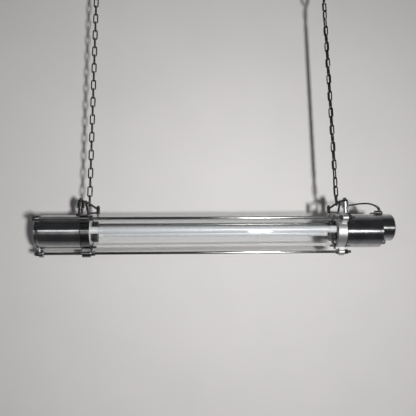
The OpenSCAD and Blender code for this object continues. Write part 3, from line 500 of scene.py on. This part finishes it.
def dress(obj, key):
    if not obj.material_slots:
        obj.data.materials.append(None)
    for slot in obj.material_slots:
        slot.material = MATERIALS[key]


def fit_trim(obj, key, body):
    """Dresses a piece that only the scene has, and puts it on its body."""
    tidy_normals(obj)
    dress(obj, key)
    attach(obj, body)


for key, names in WEAR.items():
    for name in names:
        dress(nodes[name], key)
for cord in (cord_top, cord_woven, cord_arc):
    dress(cord, "flex")


# Black saddles between the lighting tubes, with ribs across

def saddle_outline(inset):
    """Outline in Y and Z, in mm: a chamfered block with a hollow on each side for a tube."""
    half_y, half_z, chamfer, tube_y, hollow = 19 - inset, 36 - inset, 4, 26, 13.6 + inset
    reach = math.sqrt(hollow ** 2 - (tube_y - half_y) ** 2)
    start = math.asin(reach / hollow)
    side = [(half_y - chamfer, -half_z), (half_y, -half_z + chamfer)]
    for k in range(13):
        a = start * (k / 6 - 1)
        side.append((tube_y - hollow * math.cos(a), hollow * math.sin(a)))
    side += [(half_y, half_z - chamfer), (half_y - chamfer, half_z)]
    return side + [(-y, z) for y, z in reversed(side)]


# The holders and both lighting tubes are turned about the lamp axis, the front tube upwards
HOLDER_TURN = Matrix.Translation((0, 0, AXIS_Z)) @ Matrix.Rotation(math.radians(-6), 4, "X")


def at_holder(way, x, y, z):
    return HOLDER_TURN @ Vector((way * x * MM, y * MM, z * MM))


def make_saddle(name, way):
    first_rib, rib_pitch = 426.6, 6.2
    stations = [(426, 0.9), (first_rib, 0)]
    for rib in range(3):
        start = first_rib + rib * rib_pitch
        stations += [(start + 2.8, 0), (start + 3.3, 1.8), (start + 5.7, 1.8), (start + rib_pitch, 0)]
    stations += [(445.4, 0), (446, 0.9)]
    verts, faces = [], []
    for x, inset in stations:
        for y, z in saddle_outline(inset):
            verts.append(at_holder(way, x, y, z))
    n = len(saddle_outline(0))
    for i in range(len(stations) - 1):
        for k in range(n):
            m = (k + 1) % n
            faces.append((i * n + k, i * n + m, (i + 1) * n + m, (i + 1) * n + k))
    faces.append(tuple(reversed(range(n))))
    faces.append(tuple((len(stations) - 1) * n + k for k in range(n)))
    neck = []
    for x in (445.8, 449):
        for y, z in ((-9, -30), (9, -30), (9, 30), (-9, 30)):
            neck.append(at_holder(way, x, y, z))
    box = [(0, 1, 5, 4), (1, 2, 6, 5), (2, 3, 7, 6), (3, 0, 4, 7), (3, 2, 1, 0), (4, 5, 6, 7)]
    obj = add_object(name, *joined([(verts, faces), (neck, box)]), smooth=False)
    fit_trim(obj, "ribbed", "lamp")
    return obj


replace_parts(make_saddle("left_saddle_ribbed", -1), "left_tube_saddle")
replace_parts(make_saddle("right_saddle_ribbed", 1), "right_tube_saddle")


# Weld beads of the chain links, on one side of each link

def link_turn(i, twisted):
    """Turn of link i about the chain, in degrees; a twisted chain turns 15 more from link to link
    at its ends, up to 45."""
    base = 90 if i % 2 == 1 else 0
    return base + (min(45, 15 * min(i - 1, LINKS - i)) if twisted else 0)


def weld_bead(i, way, twisted):
    wire, side = 2.5, 7.5
    turn = Matrix.Rotation(math.radians(link_turn(i, twisted)), 4, "Z")
    place = (Matrix.Translation((way * HANG_X, 0, link_middle(i) * MM)) @ turn
             @ Matrix.Translation((side * MM, 0, 0)) @ Matrix.Rotation(math.radians(90), 4, "Y"))
    shape = [(-2.6, wire - 0.1), (-1.9, wire + 0.28), (-0.9, wire + 0.5), (0, wire + 0.56),
             (0.9, wire + 0.5), (1.9, wire + 0.28), (2.6, wire - 0.1)]
    return lathe_parts([(x * MM, r * MM) for x, r in shape], 16, place)


def make_welds(name, links, way, twisted, body):
    obj = add_object(name, *joined([weld_bead(i, way, twisted) for i in links]))
    fit_trim(obj, "chain", body)


make_welds("left_chain_welds", range(2, LINKS), -1, False, "left_chain")
make_welds("right_chain_welds", range(2, LINKS), 1, True, "right_chain")
for prefix, way in (("left", -1), ("right", 1)):
    make_welds(f"{prefix}_top_weld", [1], way, False, f"{prefix}_top_link")
    make_welds(f"{prefix}_end_weld", [LINKS], way, False, f"{prefix}_end_link")


# Two small screws in the rim of the left end plate, in front

def make_rim_screws():
    parts = []
    for angle, x, reach in ((187, -0.640, 0.0618), (204, -0.6325, 0.0584)):
        a = math.radians(angle)
        out = Vector((0, math.cos(a), math.sin(a)))
        place = (Matrix.Translation(Vector((x, 0, AXIS_Z)) + out * reach)
                 @ Vector((1, 0, 0)).rotation_difference(out).to_matrix().to_4x4())
        shape = [(-0.4, 2.6), (0.9, 2.6), (1.5, 2.2), (1.7, 1.4), (1.7, 0.5), (1.2, 0.4)]
        parts.append(lathe_parts([(x * MM, r * MM) for x, r in shape], 20, place))
    obj = add_object("left_rim_screws", *joined(parts))
    fit_trim(obj, "fixing", "lamp")


make_rim_screws()


# Tapered sleeve where the flex leaves the gland

def make_sleeve():
    length, wide, taper = 0.024, 0.0052, 0.0016
    line = curved(flex_arc_points, 6)[::-1]
    run, along = [], 0.0
    for a, b in zip(line, line[1:]):
        if along > length:
            break
        run.append((a, along))
        along += (b - a).length
    start = Vector((0.623, 0, AXIS_Z + 0.0765))
    points = [start] + [p for p, _ in run]
    total = run[-1][1]
    radii = [wide] + [wide - taper * s / total for _, s in run]
    obj = add_object("gland_sleeve", *swept(points, radii, 20, ((0, 0, 1), None)))
    fit_trim(obj, "black", "lamp")


make_sleeve()


# Stage: a pale wall close behind the lamp, which shows from the front only, and a pale floor

WALL_Y = 0.211
WALL_SLOPE = 0.045  # the wall stands a little farther back towards the right


def stage_material(name, light, dark, one_way):
    s = Shader(name, Roughness=0.85, Specular_IOR_Level=0.2)
    s.color(s.blend(s.noise(3, 4), dark, light))
    s.bump(s.noise(180, 3), 0.00015)
    if one_way:
        side = s.tree.nodes.new("ShaderNodeNewGeometry")
        s.clear_where(side.outputs["Backfacing"], (1, 1, 1, 1))
    return s.mat


def make_stage():
    low, high, half = -2.0, 1.0, 3.5
    left_y, right_y = WALL_Y - half * WALL_SLOPE, WALL_Y + half * WALL_SLOPE
    front, back = 0.1, 3.0
    wall = add_object("wall", [(-half, left_y, low), (half, right_y, low), (half, right_y, high),
                               (-half, left_y, high)], [(0, 1, 2, 3)], smooth=False)
    wall.data.materials.append(
        stage_material("wall_paint", (0.80, 0.785, 0.775), (0.77, 0.757, 0.75), True))
    floor = add_object("floor", [(-half, front, low), (half, front, low), (half, back, low),
                                 (-half, back, low)], [(0, 1, 2, 3)], smooth=False)
    floor.data.materials.append(
        stage_material("floor_paint", (0.66, 0.65, 0.64), (0.62, 0.61, 0.6), False))


make_stage()


# Light: one lamp low in front on the right, a weak one on the left, and a room that is dim behind
# the camera and pale beyond the wall

def area_light(name, place, target, size, power, color, spread):
    data = bpy.data.lights.new(name, "AREA")
    data.shape = "RECTANGLE"
    data.size, data.size_y = size
    data.energy = power
    data.color = color
    data.spread = math.radians(spread)
    obj = bpy.data.objects.new(name, data)
    scene.collection.objects.link(obj)
    obj.location = place
    obj.rotation_euler = (Vector(target) - Vector(place)).to_track_quat("-Z", "Y").to_euler()


area_light("key", (0.68, -3.2, AXIS_Z - 0.637), (0.12, 0.2, AXIS_Z + 0.3),
           size=(0.22, 0.30), power=29, color=(1.0, 0.99, 0.98), spread=100)
area_light("fill", (-1.2, -2.6, AXIS_Z + 0.05), (-0.2, 0, AXIS_Z),
           size=(0.8, 0.3), power=2.4, color=(0.96, 0.98, 1.0), spread=180)

world = bpy.data.worlds.new("room")
scene.world = world
world.use_nodes = True
wt = world.node_tree
wt.nodes.clear()
w_out = wt.nodes.new("ShaderNodeOutputWorld")
w_back = wt.nodes.new("ShaderNodeBackground")
w_place = wt.nodes.new("ShaderNodeTexCoord")
w_split = wt.nodes.new("ShaderNodeSeparateXYZ")
w_ramp = wt.nodes.new("ShaderNodeValToRGB")
w_map = wt.nodes.new("ShaderNodeMapRange")
wt.links.new(w_place.outputs["Generated"], w_split.inputs[0])
wt.links.new(w_split.outputs["Y"], w_map.inputs["Value"])
w_map.inputs["From Min"].default_value, w_map.inputs["From Max"].default_value = -1, 1
wt.links.new(w_map.outputs[0], w_ramp.inputs["Fac"])
near, far = w_ramp.color_ramp.elements
near.position, near.color = 0.32, (0.042, 0.042, 0.045, 1)
far.position, far.color = 0.62, (0.36, 0.36, 0.37, 1)
wt.links.new(w_ramp.outputs[0], w_back.inputs["Color"])
wt.links.new(w_back.outputs[0], w_out.inputs["Surface"])
